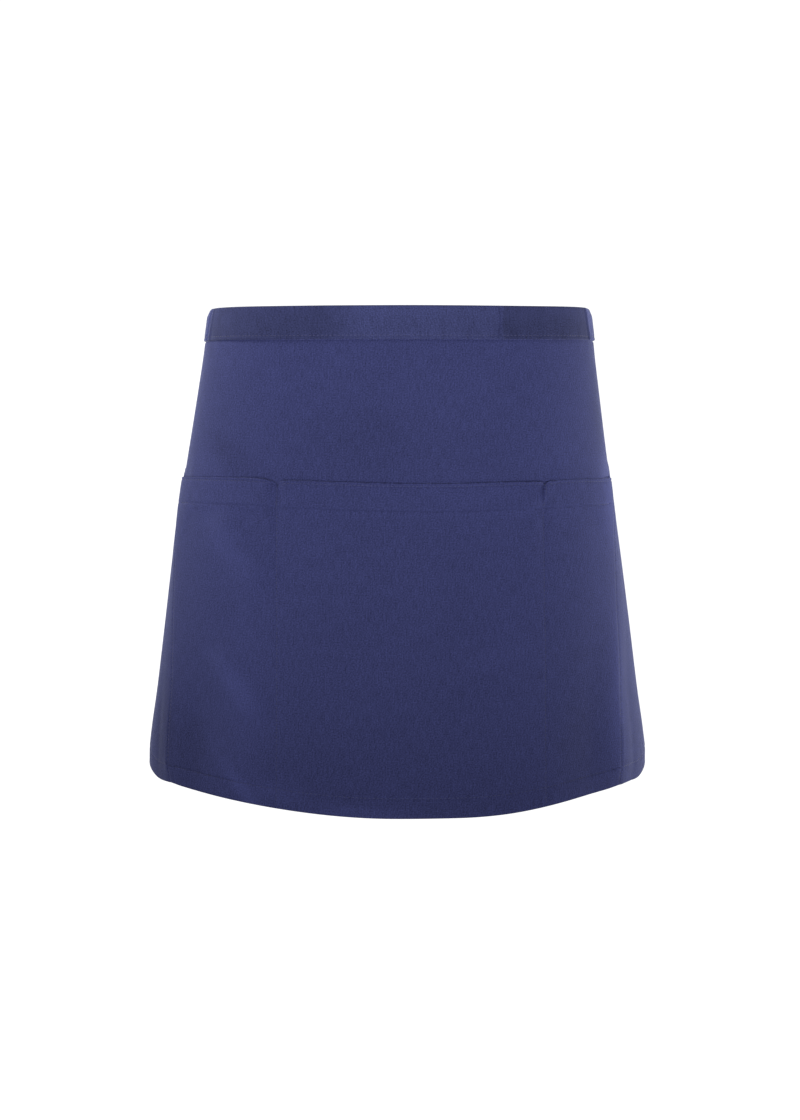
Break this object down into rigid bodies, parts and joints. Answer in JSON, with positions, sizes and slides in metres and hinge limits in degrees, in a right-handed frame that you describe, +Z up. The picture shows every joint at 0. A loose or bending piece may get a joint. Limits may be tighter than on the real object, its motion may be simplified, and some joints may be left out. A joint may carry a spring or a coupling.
{
  "type": "waist apron",
  "caption": "Short cloth waist apron as worn, wrapped round the front of the waist, with a wide patch pocket parted by stitching, a folded waistband and ties knotted behind.",
  "frame": {"origin": "middle of the waist that the apron is tied round, at half the waistband's height", "axes": "+Z up the wearer's body, -Y out of the front, where the pocket is, +X to the right as seen from the front"},
  "size_m": [0.318, 0.2222, 0.3014],
  "materials": {
    "navy_twill": "matt navy polycotton with a fine weave",
    "navy_band": "the same cloth cut across, folded double"
  },
  "bodies": {
    "root": {"skirt_panel": "navy_twill", "pocket": "navy_twill", "waistband_left": "navy_band", "waistband_right": "navy_band", "tie_knot": "navy_band", "tie_end_left": "navy_band", "tie_end_right": "navy_band"}
  },
  "joints": []
}
